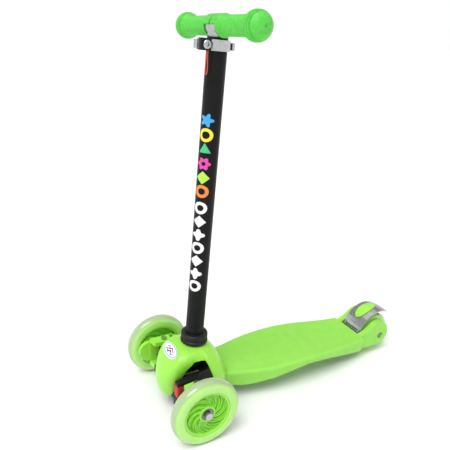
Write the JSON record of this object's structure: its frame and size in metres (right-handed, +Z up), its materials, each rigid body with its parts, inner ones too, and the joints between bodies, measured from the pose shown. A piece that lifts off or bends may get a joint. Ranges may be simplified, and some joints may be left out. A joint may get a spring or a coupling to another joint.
{
  "type": "kick scooter",
  "caption": "Three-wheeled lean-to-steer kick scooter for a small child, with a low deck, ball-ended grips, sliding handlebar, quick-release clamp and rear foot brake.",
  "frame": {"origin": "on the ground, below the middle of the whole scooter", "axes": "+Z up, -Y the way the rider faces, +X the rider's left"},
  "size_m": [0.2564, 0.5586, 0.6681],
  "materials": {
    "lime_plastic": "smooth bright lime plastic",
    "lime_deck": "lime plastic with a faint moulded grain",
    "clear_tyre": "translucent lime polyurethane",
    "grip_rubber": "soft green rubber",
    "black_plastic": "black moulded nylon",
    "black_tube": "black powder-coated tube",
    "bright_steel": "bright plated steel",
    "dark_steel": "dark bearing steel",
    "red_rubber": "red elastomer",
    "red_cord": "red braided cord",
    "white_label": "white label stock"
  },
  "bodies": {
    "deck_frame": {"deck": "lime_deck", "cowl": "lime_plastic", "badge_plate": "white_label", "front_frame": "black_plastic", "lean_pivot_bolt": "bright_steel", "spring_block_left": "red_rubber", "spring_block_right": "red_rubber", "spring_strap_left": "bright_steel", "spring_strap_right": "bright_steel", "rear_axle_bolt": "dark_steel", "rear_axle_nut": "dark_steel", "rear_spacer_left": "bright_steel", "rear_spacer_right": "bright_steel", "brake_pin": "bright_steel", "brake_spring": "bright_steel", "stem_collar": "black_plastic", "stem_tube": "black_tube", "tube_bushing": "black_plastic", "clamp_band": "bright_steel", "clamp_bolt": "bright_steel", "clamp_block": "black_plastic", "clamp_nut": "bright_steel", "lanyard_loop": "red_cord"},
    "axle_beam": {"axle_beam": "black_plastic", "kingpin_left": "bright_steel", "kingpin_right": "bright_steel"},
    "knuckle_left": {"knuckle_left": "lime_plastic", "wheel_carrier_left": "lime_plastic", "front_axle_bolt_left": "bright_steel"},
    "front_wheel_left": {"front_tyre_left": "clear_tyre", "front_core_left": "lime_plastic", "front_bearing_inner_left": "dark_steel", "front_bearing_outer_left": "dark_steel"},
    "knuckle_right": {"knuckle_right": "lime_plastic", "wheel_carrier_right": "lime_plastic", "front_axle_bolt_right": "bright_steel"},
    "front_wheel_right": {"front_tyre_right": "clear_tyre", "front_core_right": "lime_plastic", "front_bearing_inner_right": "dark_steel", "front_bearing_outer_right": "dark_steel"},
    "tie_rod": {"tie_rod": "bright_steel"},
    "rear_wheel": {"rear_tyre": "clear_tyre", "rear_core": "lime_plastic", "rear_bearing_left": "dark_steel", "rear_bearing_right": "dark_steel"},
    "brake": {"brake_fender": "bright_steel", "brake_pad": "lime_plastic"},
    "handlebar": {"height_tube": "bright_steel", "tee_joint": "bright_steel", "cross_bar": "bright_steel", "grip_left": "grip_rubber", "grip_right": "grip_rubber"},
    "clamp_lever": {"clamp_lever": "bright_steel", "lever_pin": "dark_steel"}
  },
  "joints": [
    {"name": "lean", "type": "hinge", "parent": "deck_frame", "child": "axle_beam", "pos_m": [0, -0.21926, 0.036], "axis": [0, 1, 0], "range_deg": [-8, 8], "stiffness_Nm_per_rad": 40, "deforming": ["spring_block_left", "spring_block_right"]},
    {"name": "steer_left", "type": "hinge", "parent": "axle_beam", "child": "knuckle_left", "pos_m": [0.074, -0.21926, 0.06], "axis": [0, 0, 1], "range_deg": [-12, 12]},
    {"name": "steer_right", "type": "hinge", "parent": "axle_beam", "child": "knuckle_right", "pos_m": [-0.074, -0.21926, 0.06], "axis": [0, 0, 1], "range_deg": [-12, 12]},
    {"name": "tie_rod_swing", "type": "hinge", "parent": "knuckle_left", "child": "tie_rod", "pos_m": [0.074, -0.20276, 0.062], "axis": [0, 0, 1], "range_deg": [-12, 12]},
    {"name": "front_left_spin", "type": "hinge", "parent": "knuckle_left", "child": "front_wheel_left", "pos_m": [0.1083, -0.21926, 0.06], "axis": [1, 0, 0], "continuous": true},
    {"name": "front_right_spin", "type": "hinge", "parent": "knuckle_right", "child": "front_wheel_right", "pos_m": [-0.1083, -0.21926, 0.06], "axis": [1, 0, 0], "continuous": true},
    {"name": "rear_spin", "type": "hinge", "parent": "deck_frame", "child": "rear_wheel", "pos_m": [0, 0.23674, 0.04], "axis": [1, 0, 0], "continuous": true},
    {"name": "brake_press", "type": "hinge", "parent": "deck_frame", "child": "brake", "pos_m": [0, 0.19274, 0.047], "axis": [-1, 0, 0], "range_deg": [0, 8], "stiffness_Nm_per_rad": 1.5},
    {"name": "height_slide", "type": "slide", "parent": "deck_frame", "child": "handlebar", "axis": [0, 0.0555, 0.9985], "range_m": [0, 0.2]},
    {"name": "clamp_lever_swing", "type": "hinge", "parent": "deck_frame", "child": "clamp_lever", "pos_m": [-0.0155, -0.18693, 0.62215], "axis": [0, 0.0555, 0.9985], "range_deg": [0, 120]}
  ],
  "couplings": [
    {"joint": "steer_left", "follows": "lean", "ratio": -1.5},
    {"joint": "steer_right", "follows": "lean", "ratio": -1.5},
    {"joint": "tie_rod_swing", "follows": "lean", "ratio": 1.5}
  ]
}
